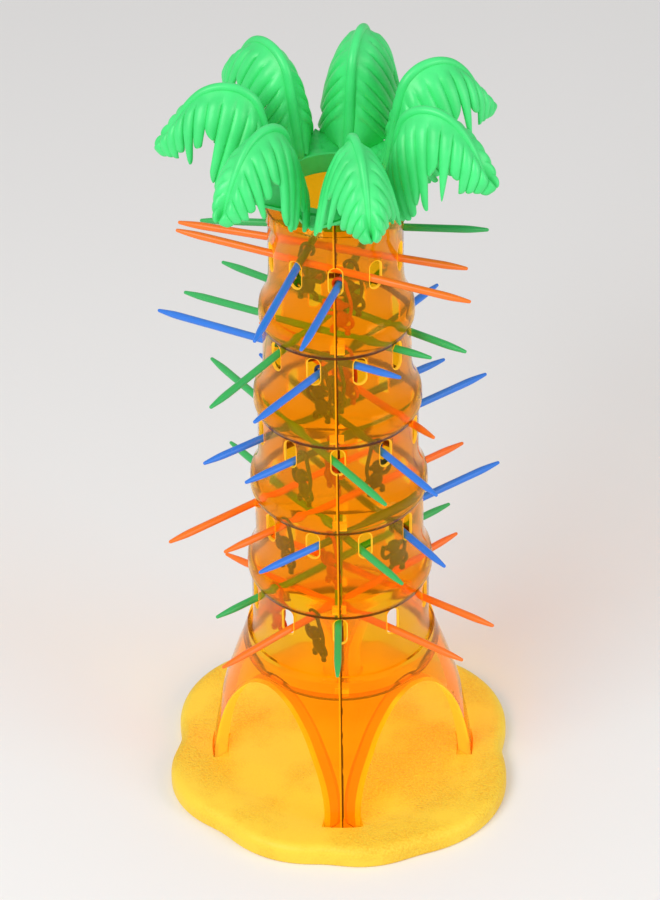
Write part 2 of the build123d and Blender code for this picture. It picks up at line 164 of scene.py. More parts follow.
# The line of a leaf's midrib and the line of its blade's edge, as shares of its reach, rise and half width
frond_line_shares = (
    (-0.13, 0.10), (-0.105, 0.28), (-0.065, 0.47), (-0.02, 0.67), (0.04, 0.83), (0.168, 0.926),
    (0.319, 0.960), (0.471, 0.948), (0.607, 0.893), (0.747, 0.772), (0.869, 0.590), (0.978, 0.373),
)
blade_edge_shares = (
    (-0.11, 0.10, 0.14), (0.02, 0.10, 0.62), (0.18, 0.13, 1.0), (0.36, 0.22, 1.05), (0.52, 0.33, 0.98),
    (0.67, 0.40, 0.80), (0.81, 0.42, 0.54), (0.92, 0.405, 0.34), (0.985, 0.375, 0.18),
)
midrib_start_way = (0, 0.4, 1)
midrib_end_way = (0, -0.35, -1)
leaf_line_steps = 8
leaf_line_points = 121
stalk_sides = 20
stalk_tip_share = 0.6
leaf_sharp = 50
# Where the flat web at a leaf's foot ends, as a share of its midrib and of its edge
web_root_share = 0.19
web_edge_share = 0.25
blade_start_share = 0.03
blade_end_share = 0.975
# For each rib of a blade from its foot to its tip: its length at its foot side and at its tip side, and how
# far a slit opens before it, for the right and the left side of a leaf
rib_end_shares = (
    (
        (0.97, 1.00, 0.0), (1.02, 1.00, 0.0), (0.80, 0.74, 0.0), (0.99, 1.03, 0.3), (1.05, 1.05, 0.0),
        (1.03, 0.97, 0.0), (0.62, 0.52, 0.3), (0.70, 0.74, 0.0), (0.97, 1.02, 0.5), (0.84, 0.86, 0.5),
        (1.02, 1.00, 0.0), (1.04, 1.01, 0.0), (1.02, 1.03, 0.0),
    ),
    (
        (0.95, 1.00, 0.0), (1.00, 1.04, 0.0), (1.02, 1.05, 0.0), (1.03, 1.00, 0.0), (0.96, 0.84, 0.0),
        (0.98, 1.07, 0.0), (0.72, 0.60, 0.0), (1.00, 1.05, 0.6), (0.70, 0.78, 0.8), (1.01, 0.99, 0.0),
        (1.03, 1.00, 0.0), (1.03, 1.01, 0.0), (1.02, 1.04, 0.0),
    ),
)
# How a rib rises from the sheet, is rounded and ends, as shares of its length or of its height
rib_long_steps = 18
rib_wide_steps = 8
rib_corner_cut = 0.05
rib_start = 0.10
rib_start_round = 0.06
rib_rise = 0.10
rib_end = 0.94
rib_end_thinning = 0.7
rib_under_share = 0.4
slit_start = 0.35
bow_lean = 0.8
# The collar's ring and its small leaves
rim_radius = 0.0285
rim_top = neck_top + 0.0125
ring_radius = 0.0362
collar_edge = 0.0007
collar_steps = 144
collar_sharp = 40
leaflet_tip_radius = 0.052
leaflet_half_width = 0.0125
leaflet_tilt = math.radians(12)
leaflet_steps = 20
leaflet_thickness = 0.0016
leaflet_taper = 1.35
leaflet_tip_share = 0.02
vein_height = 0.0011
side_vein_height = 0.0005
side_vein_count = 9
side_vein_slant = 2.2

# Sticks
stick_sides = 28
stick_tip_steps = 4
stick_taper_steps = 9
stick_sharp = 60

# Monkeys. Each hangs with its hook's middle at zero, Y up and Z through its body. The hook's angles are in
# degrees.
hook_start = -62
hook_sweep = 242
hook_steps = 18
hook_tip_share = 0.75
tail_knots = ((-0.0062, -0.0115), (-0.0056, -0.0185), (-0.0022, -0.0250))
tail_start_way = (-0.15, -1, 0)
tail_end_way = (0.9, -0.5, 0)
tail_steps = 7
tail_depth_share = 1.35
limb_steps = 6
limb_sides = 12
# For each arm and leg: its middle line, its radius, its depth's share of that, and the middle and sizes of
# its hand or foot
limbs = (
    (((0.0022, -0.0185), (0.0072, -0.0195), (0.0092, -0.0155), (0.0085, -0.0118)), 0.00115, 1.15,
     (0.0085, -0.0118), (0.0014, 0.0014, 0.0014)),
    (((-0.0022, -0.0188), (-0.0062, -0.0212), (-0.0070, -0.0252), (-0.0048, -0.0275)), 0.00115, 1.15,
     (-0.0048, -0.0275), (0.0014, 0.0014, 0.0014)),
    (((-0.0016, -0.0262), (-0.0046, -0.0292), (-0.0034, -0.0312)), 0.0013, 1.1,
     (-0.0042, -0.0312), (0.0019, 0.0011, 0.0015)),
    (((0.0016, -0.0262), (0.0046, -0.0292), (0.0034, -0.0312)), 0.0013, 1.1,
     (0.0042, -0.0312), (0.0019, 0.0011, 0.0015)),
)
# Middle, sizes and steps of the belly, the head and the two ears
body_balls = (
    ((0, -0.0222), (0.0042, 0.0058, 0.0024), 24),
    ((0.0014, -0.0135), (0.0043, 0.0041, 0.0027), 24),
    ((-0.0032, -0.0128), (0.0017, 0.0019, 0.0010), 16),
    ((0.0060, -0.0128), (0.0017, 0.0019, 0.0010), 16),
)
# Middle and sizes of the muzzle and the two eyes, which both faces of the head have
face_balls = (
    ((0.0014, -0.0148, 0.0017), (0.0026, 0.0019, 0.0012)),
    ((0.0002, -0.0119, 0.0021), (0.0009, 0.0010, 0.0005)),
    ((0.0026, -0.0119, 0.0021), (0.0009, 0.0010, 0.0005)),
)
ball_steps = 16
soft_factor = 0.5
soft_passes = 2

# Plastics: roughness, amount of the second colour, scale of its clouds, scale and height of the grain
leaf_skin = (0.34, 0.5, 60.0, 2200.0, 0.00005)
stick_skin = (0.3, 0.35, 35.0, 1800.0, 0.00003)
monkey_skin = (0.38, 0.5, 180.0, 2600.0, 0.0001)
floor_skin = (0.7, 0.5, 3.0, 60.0, 0.0)
plastic_shine = 0.4
# How dark the second colour is beside the first
stick_shade = 0.8
monkey_shade = 0.6
floor_shade = 0.985
# Clear plastic: the scales of its clouds and grain and the grain's height, how it bends light, the powers of
# its tint in its second colour, its shine and its light, and for each part its amount of the second colour
clear_texture = (22.0, 500.0, 0.00002)
clear_bending = 1.3
clear_shade_power = 1.4
clear_shine_power = 0.4
clear_light_power = 0.5
clear_amount, edge_amount, step_amount = 0.12, 0.2, 0.1
# Roughness of the cut edges and the steps, and how much light passes the edges with their painted highlight
# and the steps with their painted shade
cut_roughness = 0.12
edge_see_through = 0.55
step_see_through = 0.35

# Lamps: place, width and depth
key_lamp = ((-0.9, -1.1, 1.5), 1.1, 0.8)
fill_lamp = ((1.3, -0.8, 0.9), 0.8, 0.9)

# Camera, found from the photograph: its place, its turn, pitch and roll, and its focal length in pixels of a
# frame whose long side has 900
camera_place = (0.018206, -1.996554, 1.6599)
camera_turn = math.radians(0.66)
camera_pitch = math.radians(54.27)
camera_roll = math.radians(-0.90)
focal_pixels = 4385.4
frame_pixels = 900
film_width = 36.0


def colour(name, text, value):
    return FloatVectorProperty(name=name, description=text, subtype="COLOR", size=3, min=0, max=1,
                               default=value)


def length(name, text, value):
    return FloatProperty(name=name, description=text, unit="LENGTH", precision=5, min=0, default=value)


def share(name, text, value):
    return FloatProperty(name=name, description=text, subtype="FACTOR", min=0, max=1, default=value)


def count(name, text, value):
    return IntProperty(name=name, description=text, min=least_facets, default=value)


def watts(name, text, value):
    return FloatProperty(name=name, description=text, min=0, default=value)


class SandSettings(bpy.types.PropertyGroup):
    """Sizes and colours of the sand base"""
    sand: colour("Sand", "Colour of the moulded sand", (1.0, 0.70, 0.055))
    # The shade colour is painted shade: the material mixes it in by the moulded grain's height, in patches
    shade: colour("Shade", "Colour in the sand's hollows", (0.86, 0.40, 0.010))
    edge_round: length("Edge round", "Radius of the upper edge", 0.006)
    foot_round: length("Foot round", "Radius of the lower edge", 0.0015)
    dish_depth: length("Dish depth", "Depth of the ring valley round the legs", 0.0016)
    ripple: length("Ripple", "Height of the soft waves in the sand", 0.0003)
    grain: length("Grain", "Size of one grain of the moulded texture", 0.0011)
    outline_steps: count("Outline steps", "Points round the base", 320)


class TrunkSettings(bpy.types.PropertyGroup):
    """Sizes and colours of the clear trunk"""
    clear: colour("Clear", "Tint of the clear plastic", (1.0, 0.53, 0.008))
    # The edge colour and its glow are a painted highlight on the cut edges, slot ledges, arch edges, groove
    # and clip tabs
    edge: colour("Edge", "Colour that gathers in cut edges", (1.0, 0.62, 0.045))
    # The step colour is painted shade: a dark line under each lip and along the seam
    step: colour("Step", "Colour of the thick steps under the lips and of the seam", (0.16, 0.045, 0.002))
    wall: length("Wall", "Thickness of the shell", 0.0016)
    # Painted glow: the cut edges emit their own colour, though they are no lamp
    edge_glow: share("Edge glow", "Light that leaves the cut edges", 0.34)
    see_through: share("See through", "How much light passes the wall", 0.90)
    polish: share("Polish", "Roughness of the outer skin", 0.035)
    steps: count("Steps", "Facets round the trunk", 160)


class CrownSettings(bpy.types.PropertyGroup):
    """Sizes and colours of the palm crown"""
    leaf: colour("Leaf", "Colour of the palm leaves", (0.070, 0.80, 0.225))
    # The shade colour is a darker green that the moulded skin mixes in as slow random clouds, not by the ribs
    shade: colour("Shade", "Colour deep between the ribs", (0.035, 0.60, 0.14))
    midrib_radius: length("Midrib radius", "Radius of a stalk at its foot", 0.0035)
    tip_radius: length("Tip radius", "Radius of a stalk at its tip", 0.0015)
    rib_height: length("Rib height", "How far a rib bulges from the sheet", 0.0015)
    sheet: length("Sheet", "Thickness of a leaf", 0.0010)
    bow: length("Bow", "How far a leaf's side bends out", 0.0045)


class StickSettings(bpy.types.PropertyGroup):
    """Sizes and colours of the sticks"""
    green: colour("Green", "Colour of the green sticks", (0.045, 0.48, 0.12))
    blue: colour("Blue", "Colour of the blue sticks", (0.035, 0.21, 0.80))
    orange: colour("Orange", "Colour of the orange sticks", (1.0, 0.20, 0.015))
    radius: length("Radius", "Radius of a stick", 0.0021)
    tip_radius: length("Tip radius", "Radius at the blunt ends", 0.001)
    taper: length("Taper", "Length of the tapered ends", 0.016)


class MonkeySettings(bpy.types.PropertyGroup):
    """Sizes and colours of the hanging monkeys"""
    # The monkeys' colours are far darker than the sticks' of the same names: painted shade for the dim inside
    # of the trunk
    green: colour("Green", "Colour of the green monkeys", (0.010, 0.15, 0.03))
    blue: colour("Blue", "Colour of the blue monkeys", (0.010, 0.05, 0.26))
    orange: colour("Orange", "Colour of the orange monkeys", (0.60, 0.06, 0.01))
    hook_radius: length("Hook radius", "Radius of the tail's hook at its middle line", 0.00355)
    tail_radius: length("Tail radius", "Half the width of the tail", 0.00098)
    voxel: length("Voxel", "Size of the sculpted surface's cells", 0.00045)


class StageSettings(bpy.types.PropertyGroup):
    """Floor and light"""
    floor: colour("Floor", "Colour of the floor", (0.90, 0.885, 0.875))
    floor_size: length("Floor size", "Side of the floor", 6.0)
    sky: share("Sky", "Strength of the light from all round", 0.56)
    key_power: watts("Key power", "Power of the large lamp in watts", 20.0)
    fill_power: watts("Fill power", "Power of the side lamp in watts", 8.0)


# Node groups and materials

def node_group(name, inputs, outputs):
    """An empty shader group with named inputs and outputs."""
    group = bpy.data.node_groups.new(name, "ShaderNodeTree")
    for label, kind, value in inputs:
        socket = group.interface.new_socket(name=label, in_out="INPUT", socket_type=kind)
        socket.default_value = value
    for label, kind in outputs:
        group.interface.new_socket(name=label, in_out="OUTPUT", socket_type=kind)
    return group


def add_node(tree, kind, **values):
    """A new node. Each value goes to the node's property of that name, or else to its input."""
    node = tree.nodes.new(kind)
    for name, value in values.items():
        if hasattr(node, name):
            setattr(node, name, value)
        else:
            node.inputs[name.replace("_", " ").title()].default_value = value
    return node


def link_all(tree, *links):
    """Makes links, each given as a node, its output, another node and its input."""
    for source, output, target, entry in links:
        tree.links.new(source.outputs[output], target.inputs[entry])


def moulded_skin():
    """Slow and fine changes of colour, gloss and height, as on a moulded plastic skin."""
    name = "moulded skin"
    if name in bpy.data.node_groups:
        return bpy.data.node_groups[name]
    number, paint = "NodeSocketFloat", "NodeSocketColor"
    tree = node_group(
        name,
        (("Colour", paint, (1, 1, 1, 1)), ("Shade", paint, (0.5, 0.5, 0.5, 1)), ("Amount", number, 0.25),
         ("Cloud Scale", number, 40.0), ("Grain Scale", number, 1500.0), ("Gloss", number, 0.3),
         ("Gloss Change", number, 0.08)),
        (("Colour", paint), ("Roughness", number), ("Height", number)),
    )
    given = add_node(tree, "NodeGroupInput")
    place = add_node(tree, "ShaderNodeTexCoord")
    cloud = add_node(tree, "ShaderNodeTexNoise", Detail=3.0)
    grain = add_node(tree, "ShaderNodeTexNoise", Detail=2.0)
    flow = add_node(tree, "ShaderNodeMapRange", From_min=0.35, From_max=0.65)
    amount = add_node(tree, "ShaderNodeMath", operation="MULTIPLY")
    mix = add_node(tree, "ShaderNodeMix", data_type="RGBA")
    swing = add_node(tree, "ShaderNodeMath", operation="MULTIPLY")
    gloss = add_node(tree, "ShaderNodeMath", operation="ADD")
    result = add_node(tree, "NodeGroupOutput")
    link_all(
        tree,
        (place, "Object", cloud, "Vector"), (place, "Object", grain, "Vector"),
        (given, "Cloud Scale", cloud, "Scale"), (given, "Grain Scale", grain, "Scale"),
        (cloud, "Fac", flow, "Value"), (flow, "Result", amount, 0), (given, "Amount", amount, 1),
        (amount, "Value", mix, "Factor"), (given, "Colour", mix, "A"), (given, "Shade", mix, "B"),
        (flow, "Result", swing, 0), (given, "Gloss Change", swing, 1), (swing, "Value", gloss, 0),
        (given, "Gloss", gloss, 1), (mix, "Result", result, "Colour"), (gloss, "Value", result, "Roughness"),
        (grain, "Fac", result, "Height"),
    )
    return tree


def plain_material(name, shine):
    """A new material, its nodes and its shader."""
    material = bpy.data.materials.new(name)
    material.use_nodes = True
    shader = material.node_tree.nodes["Principled BSDF"]
    shader.inputs["Specular IOR Level"].default_value = shine
    return material, material.node_tree, shader


def skin_material(name, main, shade, skin):
    """Opaque moulded plastic with slow colour changes and a fine surface grain."""
    gloss, amount, cloud_scale, grain_scale, bump = skin
    material, tree, shader = plain_material(name, plastic_shine)
    skin = add_node(tree, "ShaderNodeGroup", node_tree=moulded_skin(), Colour=(*main, 1), Shade=(*shade, 1),
                    Amount=amount, Cloud_scale=cloud_scale, Grain_scale=grain_scale, Gloss=gloss)
    lift = add_node(tree, "ShaderNodeBump", Strength=0.6, Distance=bump)
    link_all(
        tree,
        (skin, "Colour", shader, "Base Color"), (skin, "Roughness", shader, "Roughness"),
        (skin, "Height", lift, "Height"), (lift, "Normal", shader, "Normal"),
    )
    material.diffuse_color = (*main, 1)
    return material


def clear_material(name, tint, gloss, see_through, amount):
    """Tinted clear plastic that lets direct light through as its own tint."""
    shade = [part ** clear_shade_power for part in tint]
    material = skin_material(name, tint, shade, (gloss, amount, *clear_texture))
    tree = material.node_tree
    shader = tree.nodes["Principled BSDF"]
    shader.inputs["Transmission Weight"].default_value = see_through
    shader.inputs["IOR"].default_value = clear_bending
    shader.inputs["Specular Tint"].default_value = (*(part ** clear_shine_power for part in tint), 1)
    light = (*(part ** clear_light_power for part in tint), 1)
    straight = add_node(tree, "ShaderNodeBsdfTransparent", Color=light)
    path = add_node(tree, "ShaderNodeLightPath")
    choice = add_node(tree, "ShaderNodeMixShader")
    link_all(
        tree,
        (path, "Is Shadow Ray", choice, "Fac"), (shader, "BSDF", choice, 1), (straight, "BSDF", choice, 2),
        (choice, "Shader", tree.nodes["Material Output"], "Surface"),
    )
    return material


def sand_material(settings):
    """Sand-coloured plastic with a moulded grain of small rounded lumps, and painted shade that follows the
    grain's height.
    """
    material, tree, shader = plain_material("moulded sand", sand_shine)
    place = add_node(tree, "ShaderNodeTexCoord")
    lumps = add_node(tree, "ShaderNodeTexVoronoi", feature="SMOOTH_F1", Scale=1 / settings.grain)
    patches = add_node(tree, "ShaderNodeTexNoise", Scale=sand_patch_scale, Detail=4.0)
    fine = add_node(tree, "ShaderNodeTexNoise", Scale=sand_fine_scale, Detail=2.0)
    where = add_node(tree, "ShaderNodeMapRange", From_min=0.42, From_max=0.60, To_min=0.15, To_max=1.0)
    height = add_node(tree, "ShaderNodeMath", operation="MULTIPLY")
    total = add_node(tree, "ShaderNodeMath", operation="MULTIPLY_ADD")
    total.inputs[1].default_value = sand_fine_share
    lift = add_node(tree, "ShaderNodeBump", Strength=0.9, Distance=sand_relief)
    # Painted shade: the grain's height, in patches, mixes the sand towards its shade colour
    depth = add_node(tree, "ShaderNodeMapRange", From_min=0.0, From_max=0.75, To_min=0.0, To_max=0.62)
    mix = add_node(tree, "ShaderNodeMix", data_type="RGBA", A=(*settings.sand, 1), B=(*settings.shade, 1))
    gloss = add_node(tree, "ShaderNodeMapRange", To_min=0.38, To_max=0.55)
    link_all(
        tree,
        (place, "Object", lumps, "Vector"), (place, "Object", patches, "Vector"),
        (place, "Object", fine, "Vector"), (patches, "Fac", where, "Value"),
        (lumps, "Distance", height, 0), (where, "Result", height, 1), (fine, "Fac", total, 0),
        (height, "Value", total, 2), (total, "Value", lift, "Height"), (height, "Value", depth, "Value"),
        (depth, "Result", mix, "Factor"), (mix, "Result", shader, "Base Color"),
        (patches, "Fac", gloss, "Value"), (gloss, "Result", shader, "Roughness"),
        (lift, "Normal", shader, "Normal"),
    )
    return material


# Shape helpers

def smooth_line(knots, steps, first=None, last=None):
    """Points along a smooth curve through the knots, with the directions at its ends where they are given."""
    end = len(knots) - 1
    lean = [(knots[min(i + 1, end)] - knots[max(i - 1, 0)]).normalized() for i in range(end + 1)]
    if first is not None:
        lean[0] = Vector(first).normalized()
    if last is not None:
        lean[end] = Vector(last).normalized()
    line = []
    for i in range(end):
        here, there = knots[i], knots[i + 1]
        reach = (there - here).length / 3
        out, back = here + lean[i] * reach, there - lean[i + 1] * reach
        line += interpolate_bezier(here, out, back, there, steps + 1)[:-1]
    return line + [knots[-1].copy()]


def at_share(line, along):
    """The point at a share of a line's points, and the direction there."""
    place = max(0.0, min(1.0, along)) * (len(line) - 1)
    i = min(int(place), len(line) - 2)
    point = line[i].lerp(line[i + 1], place - i)
    before, after = line[max(i - 1, 0)], line[min(i + 2, len(line) - 1)]
    return point, (after - before).normalized()


def even_line(line, number):
    """The same line with its points at equal distances."""
    run = [0.0]
    for a, b in zip(line, line[1:]):
        run.append(run[-1] + (b - a).length)
    result = []
    k = 0
    for i in range(number):
        target = run[-1] * i / (number - 1)
        while k < len(run) - 2 and run[k + 1] < target:
            k += 1
        span = run[k + 1] - run[k]
        result.append(line[k].lerp(line[k + 1], (target - run[k]) / span if span else 0))
    return result


def smoothed(mesh, sharp):
    """The mesh, smooth except at edges sharper than an angle in degrees."""
    mesh.polygons.foreach_set("use_smooth", [True] * len(mesh.polygons))
    mesh.set_sharp_from_angle(angle=math.radians(sharp))
    return mesh


def finished_mesh(name, verts, faces, sharp=sharp_edge):
    """A smoothed mesh with outward normals."""
    mesh = bpy.data.meshes.new(name)
    mesh.from_pydata([tuple(v) for v in verts], [], faces)
    turner = bmesh.new()
    turner.from_mesh(mesh)
    bmesh.ops.recalc_face_normals(turner, faces=turner.faces)
    turner.to_mesh(mesh)
    turner.free()
    return smoothed(mesh, sharp)


def merged(parts):
    """Several parts as one. A part is a list of verts and a list of faces."""
    verts, faces = [], []
    for part_verts, part_faces in parts:
        start = len(verts)
        verts += part_verts
        faces += [tuple(start + i for i in face) for face in part_faces]
    return verts, faces


def band_faces(rings, sides, start=0):
    """Faces between rings of verts that follow one another, from a first vert on."""
    faces = []
    for here in range(start, start + (rings - 1) * sides, sides):
        there = here + sides
        for k in range(sides):
            m = (k + 1) % sides
            faces.append((here + k, here + m, there + m, there + k))
    return faces


def pushed_faces(sides):
    """Faces of a solid between an outline's verts and the same outline's verts further on."""
    ends = [tuple(range(sides)), tuple(reversed(range(sides, 2 * sides)))]
    return ends + [(k, (k + 1) % sides, sides + (k + 1) % sides, sides + k) for k in range(sides)]


def sheet_part(top, low, size):
    """A thin sheet as a part, from the points of its two sides. Both come in rows of the same size."""
    last, under = len(top) // size - 1, len(top)
    faces = []
    for k in range(last):
        for i in range(size - 1):
            a, d = k * size + i, (k + 1) * size + i
            faces.append((a, a + 1, d + 1, d))
            faces.append((under + a, under + d, under + d + 1, under + a + 1))
        for i in (0, size - 1):
            a, d = k * size + i, (k + 1) * size + i
            faces.append((a, d, under + d, under + a))
    for k in (0, last):
        for a in range(k * size, (k + 1) * size - 1):
            faces.append((a, a + 1, under + a + 1, under + a))
    return top + low, faces


def turned_ring(outline, steps, first=0.0, sweep=math.tau):
    """A closed outline of (radius, height) turned round the Z axis, all the way or in part, as a part."""
    whole = sweep >= math.tau
    rings = steps if whole else steps + 1
    sides = len(outline)
    verts, faces = [], []
    for i in range(rings):
        turn = first + sweep * i / steps
        verts += [Vector((r * math.sin(turn), -r * math.cos(turn), z)) for r, z in outline]
    for i in range(steps):
        j = (i + 1) % rings
        for k in range(sides):
            m = (k + 1) % sides
            faces.append((i * sides + k, j * sides + k, j * sides + m, i * sides + m))
    if not whole:
        faces.append(tuple(range(sides)))
        faces.append(tuple(reversed(range((rings - 1) * sides, rings * sides))))
    return verts, faces


def prism(outline, angle, near, far):
    """An outline of (across, height) pushed out from the axis between two distances, as a part."""
    out = Vector((math.sin(angle), -math.cos(angle), 0))
    across = Vector((math.cos(angle), math.sin(angle), 0))
    verts = [out * reach + across * a + Vector((0, 0, z)) for reach in (near, far) for a, z in outline]
    return verts, pushed_faces(len(outline))


def tube(line, radii, sides, depth_share=1.0, up=Vector((0, 0, 1))):
    """A closed tube along a line, with a radius at every point and its depth's share of it, as a part."""
    verts = []
    last = len(line) - 1
    for i, point in enumerate(line):
        way = (line[min(i + 1, last)] - line[max(i - 1, 0)]).normalized()
        side = way.cross(up).normalized()
        top = side.cross(way).normalized()
        for k in range(sides):
            turn = math.tau * k / sides
            wide, deep = radii[i] * math.cos(turn), radii[i] * depth_share * math.sin(turn)
            verts.append(point + side * wide + top * deep)
    faces = band_faces(len(line), sides)
    faces.append(tuple(reversed(range(sides))))
    faces.append(tuple(range(last * sides, (last + 1) * sides)))
    return verts, faces


def ball(centre, sizes, steps=ball_steps):
    """An ellipsoid as a part."""
    shape = bmesh.new()
    bmesh.ops.create_uvsphere(shape, u_segments=steps, v_segments=steps // 2, radius=1.0)
    verts = [Vector(centre) + Vector([v.co[i] * sizes[i] for i in range(3)]) for v in shape.verts]
    faces = [tuple(v.index for v in face.verts) for face in shape.faces]
    shape.free()
    return verts, faces


def applied(mesh, add_modifiers):
    """A new mesh with modifiers worked in. The callback adds them to a passing object."""
    passing = bpy.data.objects.new("passing", mesh)
    bpy.context.scene.collection.objects.link(passing)
    add_modifiers(passing)
    depsgraph = bpy.context.evaluated_depsgraph_get()
    result = bpy.data.meshes.new_from_object(passing.evaluated_get(depsgraph), depsgraph=depsgraph)
    bpy.data.objects.remove(passing)
    return result


def carved(mesh, tool, operation):
    """The mesh after one boolean with a tool mesh."""
    cutter = bpy.data.objects.new("cutter", tool)
    bpy.context.scene.collection.objects.link(cutter)

    def add_cut(passing):
        cut = passing.modifiers.new("cut", "BOOLEAN")
        cut.object = cutter
        cut.operation = operation
        cut.solver = "MANIFOLD"

    result = applied(mesh, add_cut)
    bpy.data.objects.remove(cutter)
    return result


def painted(mesh, material):
    """The mesh with one material on all its faces."""
    mesh.materials.clear()
    mesh.materials.append(material)
    return mesh


def add_piece(name, mesh, body, nodes, matrix=Matrix()):
    """Puts a mesh in the scene as a piece that rides on a body and stands for CAD nodes."""
    piece = bpy.data.objects.new(name, mesh)
    piece.matrix_world = matrix
    bpy.context.scene.collection.objects.link(piece)
    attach(piece, body)
    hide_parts(*nodes)


def loose_joints(kind):
    """The joints that move bodies of one kind, with the colour and the number in each body's name."""
    for joint in frame["joints"]:
        word, paint, number = joint["child"].split("_")
        if word == kind:
            yield joint, paint, number


# Sand base

def rim_point(turn, reach):
    angle = math.tau * turn
    return Vector((math.sin(angle), -math.cos(angle), 0)) * (base_radius * reach)


def arc_points(start, middle, end, steps):
    """Points along the circle through three points, without the last one."""
    across, up = middle - start, end - start
    twice = 2 * across.cross(up).z
    centre = start + Vector((up.y * across.length_squared - across.y * up.length_squared,
                             across.x * up.length_squared - up.x * across.length_squared, 0)) / twice
    first = start - centre
    sweep = first.xy.angle_signed((end - centre).xy)
    if sweep > 0:
        sweep -= math.tau
    return [centre + Matrix.Rotation(-sweep * i / steps, 3, "Z") @ first for i in range(steps)]


def base_rim(steps):
    """The outline of the base as points, seen from above: seven lobes, each an arc, with softened hollows."""
    rim = []
    for i, (hollow, peak) in enumerate(lobe_shares):
        following = lobe_shares[(i + 1) % len(lobe_shares)][0]
        rim += arc_points(rim_point(*hollow), rim_point(*peak), rim_point(*following), steps)
    rim = even_line(rim + rim[:1], steps * len(lobe_shares) + 1)[:-1]
    for _ in range(hollow_passes):
        rim = [(rim[i - 1] + rim[i] + rim[(i + 1) % len(rim)]) / 3 for i in range(len(rim))]
    return rim


def box_outline(low_x, high_x, low_z, high_z):
    return [(low_x, low_z), (high_x, low_z), (high_x, high_z), (low_x, high_z)]


def sand_mesh(settings):
    """The lobed base with rounded edges, a shallow valley and ripples on top, and four sockets."""
    rim = base_rim(max(least_lobe_steps, settings.outline_steps // len(lobe_shares)))
    sides = len(rim)
    inward = []
    for i in range(sides):
        along = (rim[(i + 1) % sides] - rim[i - 1]).normalized()
        inward.append(Vector((-along.y, along.x, 0)))
    foot, edge = settings.foot_round, settings.edge_round
    turns = [math.pi / 2 * k / base_round_steps for k in range(base_round_steps + 1)]
    rings = [(foot * (1 - math.sin(turn)), foot * (1 - math.cos(turn))) for turn in turns]
    rings += [(edge * (1 - math.cos(turn)), base_height - edge + edge * math.sin(turn)) for turn in turns]
    verts = []
    for inset, height in rings:
        verts += [rim[i] + inward[i] * inset + Vector((0, 0, height)) for i in range(sides)]
    middle = (dish_inner_radius + dish_outer_radius) / 2
    half = (dish_outer_radius - dish_inner_radius) / 2
    for k in range(1, top_rings):
        fade = min(1.0, top_fade * k / top_rings)
        for i in range(sides):
            point = (rim[i] + inward[i] * edge) * (1 - k / top_rings)
            sink = max(0.0, 1 - ((point.length - middle) / half) ** 2)
            wave = noise.noise(point * ripple_scale) * settings.ripple
            point.z = base_height - settings.dish_depth * sink ** 2 * fade + (wave - settings.ripple) * fade
            verts.append(point)
    faces = band_faces(len(verts) // sides, sides)
    start = len(verts) - sides
    faces += [(start + i, start + (i + 1) % sides, len(verts)) for i in range(sides)]
    verts.append(Vector((0, 0, base_height - settings.ripple)))
    faces.append(tuple(reversed(range(sides))))
    mesh = finished_mesh("sand", verts, faces)
    half_leg = math.pi / leg_count - math.asin(arch_half_width / foot_radius) + 2 * socket_gap / foot_radius
    outline = box_outline(foot_radius - leg_flange - 2 * socket_gap, foot_radius + socket_gap,
                          foot_height, base_height * 2)
    for leg in range(leg_count):
        first = math.tau * leg / leg_count - half_leg
        socket = finished_mesh("socket", *turned_ring(outline, socket_steps, first, 2 * half_leg))
        mesh = carved(mesh, socket, "DIFFERENCE")
    return smoothed(mesh, socket_sharp)


class TREEGAME_OT_sand_base(bpy.types.Operator):
    """Make the lobed sand base that the trunk stands on"""
    bl_idname = "treegame.sand_base"
    bl_label = "Sand Base"

    def execute(self, context):
        settings = context.scene.treegame_sand
        mesh = painted(sand_mesh(settings), sand_material(settings))
        add_piece("sand_base", mesh, "tree", ("base",))
        return {"FINISHED"}


# Clear trunk

def lip_radius(tier):
    return top_lip_radius + lip_spread * lip_spread_shares[tier]


def waist_radius(tier):
    return lip_radius(tier) * waist_shares[tier]


def lip_height(tier):
    return neck_top - neck_height - tier_pitch * tier


def slot_centre(tier):
    return lip_height(tier) + slot_rise


def section_line(knots, steps, first, last):
    """A smooth line of (radius, height) through knots of the same kind, with the directions at its ends."""
    places = [Vector((r, 0, z)) for r, z in knots]
    points = smooth_line(places, steps, (first[0], 0, first[1]), (last[0], 0, last[1]))
    return [(p.x, p.z) for p in points]


def bell_line(tier, inset):
    """The wall line of one bell from its top down to the step under its lip."""
    top = neck_top if tier == 0 else lip_height(tier - 1) - bead_below - step_height
    waist = waist_radius(tier) - inset
    lip = lip_radius(tier) - inset
    low = lip_height(tier)
    if tier == 0:
        neck, rim_low = neck_radius - inset, top - mouth_rim_height
        line = [(shoulder_radius - inset, top + shoulder_rise), (neck, top), (neck, rim_low),
                (waist, rim_low - step_height)]
    else:
        line = [(waist, top)]
    straight_end = (waist, slot_centre(tier) - slot_height / 2 - slot_land)
    crease = (lip - bead_proud, low + bead_above)
    line.append(straight_end)
    line += section_line([straight_end, crease], bell_steps, (0, -1), (bead_proud, -bead_above / 4))[1:]
    bulge = (lip, low + bead_above / 4)
    under = (lip - bead_proud / 2, low - bead_below)
    line += section_line([crease, bulge, under], bead_steps, bead_start_slope, bead_end_slope)[1:]
    foot = waist_radius(tier + 1) - inset if tier + 1 < tier_count else lip - bead_proud * 2
    line.append((foot, low - bead_below - step_height))
    return line


def whole_line(inset):
    """The wall line of all bells, moved in by an inset."""
    line = []
    for tier in range(tier_count):
        line += bell_line(tier, inset)[0 if tier == 0 else 1:]
    return line


